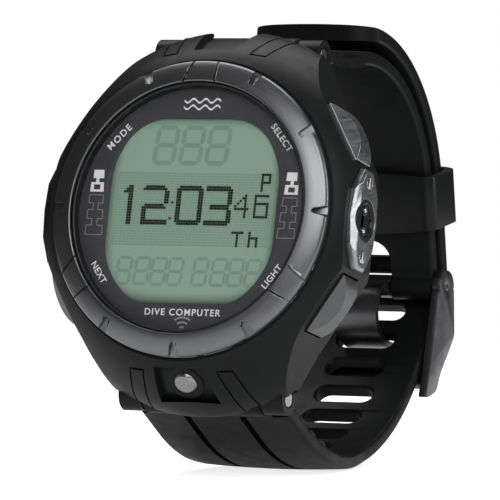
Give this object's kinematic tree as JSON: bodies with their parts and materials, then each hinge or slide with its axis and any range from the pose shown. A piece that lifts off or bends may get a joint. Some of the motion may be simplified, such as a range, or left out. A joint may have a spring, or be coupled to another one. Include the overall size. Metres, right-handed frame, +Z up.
{
  "type": "dive computer",
  "caption": "Wrist-worn dive computer with a round digital display, notched bezel, side buttons, a contact port and a buckled rubber strap standing closed on its strap.",
  "frame": {"origin": "on the floor under the middle of the object's bounding box, with the watch standing on its closed strap", "axes": "+X to the 3 o'clock side, +Y from the face to the buckle, +Z up; the face looks towards -Y and leans back 13.9 degrees"},
  "size_m": [0.056, 0.0868, 0.0745],
  "materials": {
    "body_rubber": "satin moulded polymer, fine texture",
    "bezel_metal": "gunmetal coated steel, circular brushing",
    "crystal_glass": "polished mineral glass",
    "gasket_rubber": "smooth nitrile rubber",
    "dial_print": "matt screen-printed film",
    "lcd_glass": "reflective grey-green display",
    "backlight": "translucent light guide",
    "carrier_plastic": "white moulded plastic",
    "board": "green solder mask",
    "chip": "black epoxy packages",
    "copper": "enamelled copper wire on ferrite",
    "steel": "stainless steel",
    "pin_metal": "polished stainless steel",
    "button_light_metal": "satin grey metal",
    "button_dark_metal": "satin dark grey metal",
    "plate_metal": "satin grey metal",
    "insert_plastic": "glossy black plastic",
    "strap_rubber": "satin black rubber",
    "buckle_metal": "dark gunmetal coated steel",
    "cell_metal": "nickel plated steel",
    "back_metal": "brushed stainless steel",
    "hatch_plastic": "black moulded plastic"
  },
  "bodies": {
    "watch": {"case_body": "body_rubber", "bezel_ring": "bezel_metal", "crystal": "crystal_glass", "crystal_gasket": "gasket_rubber", "dial_mask": "dial_print", "lcd_panel": "lcd_glass", "backlight_panel": "backlight", "display_carrier": "carrier_plastic", "circuit_board": "board", "board_chips": "chip", "antenna_coil": "copper", "buzzer": "chip", "dome_switches": "chip", "pressure_sensor": "steel", "battery_cup": "carrier_plastic", "battery_contacts": "steel", "battery_cell": "cell_metal", "battery_hatch": "hatch_plastic", "hatch_o_ring": "gasket_rubber", "case_back": "back_metal", "case_back_gasket": "gasket_rubber", "case_back_screws": "steel", "port_plate": "plate_metal", "port_insert": "insert_plastic", "port_pins": "pin_metal", "port_screws": "pin_metal", "wet_contact": "pin_metal", "upper_lug_bar": "pin_metal", "lower_lug_bar": "pin_metal", "button_seals": "gasket_rubber", "upper_strap": "strap_rubber", "lower_strap": "strap_rubber", "buckle_bar": "buckle_metal", "button_spring_mode": "steel", "button_spring_select": "steel", "button_spring_advance": "steel", "button_spring_light": "steel"},
    "lock_ring": {"hatch_lock_ring": "hatch_plastic"},
    "keeper": {"strap_keeper": "strap_rubber"},
    "frame": {"buckle_frame": "buckle_metal"},
    "tongue": {"buckle_tongue": "buckle_metal"},
    "button_mode": {"button_mode": "button_light_metal", "button_clip_mode": "steel"},
    "button_select": {"button_select": "button_light_metal", "button_clip_select": "steel"},
    "button_advance": {"button_advance": "button_dark_metal", "button_clip_advance": "steel"},
    "button_light": {"button_light": "button_dark_metal", "button_clip_light": "steel"}
  },
  "joints": [
    {"name": "mode_press", "type": "slide", "parent": "watch", "child": "button_mode", "axis": [0.8572, -0.1237, -0.5], "range_m": [0, 0.0012], "stiffness_N_per_m": 900, "springref_m": -0.0009, "deforming": ["button_spring_mode"]},
    {"name": "select_press", "type": "slide", "parent": "watch", "child": "button_select", "axis": [-0.8572, -0.1237, -0.5], "range_m": [0, 0.0012], "stiffness_N_per_m": 900, "springref_m": -0.0009, "deforming": ["button_spring_select"]},
    {"name": "advance_press", "type": "slide", "parent": "watch", "child": "button_advance", "axis": [0.8572, 0.1237, 0.5], "range_m": [0, 0.0012], "stiffness_N_per_m": 900, "springref_m": -0.0009, "deforming": ["button_spring_advance"]},
    {"name": "light_press", "type": "slide", "parent": "watch", "child": "button_light", "axis": [-0.8572, 0.1237, 0.5], "range_m": [0, 0.0012], "stiffness_N_per_m": 900, "springref_m": -0.0009, "deforming": ["button_spring_light"]},
    {"name": "lock_ring_turn", "type": "hinge", "parent": "watch", "child": "lock_ring", "pos_m": [0, -0.02059, 0.04092], "axis": [0, 0.9707, -0.2402], "range_deg": [0, 40]},
    {"name": "keeper_slide", "type": "slide", "parent": "watch", "child": "keeper", "axis": [0, 0.1392, -0.9903], "range_m": [-0.001, 0.004]},
    {"name": "frame_swing", "type": "hinge", "parent": "watch", "child": "frame", "pos_m": [0, 0.03723, 0.029], "axis": [1, 0, 0], "range_deg": [0, 85]},
    {"name": "tongue_swing", "type": "hinge", "parent": "watch", "child": "tongue", "pos_m": [0, 0.03723, 0.029], "axis": [-1, 0, 0], "range_deg": [0, 40]}
  ]
}
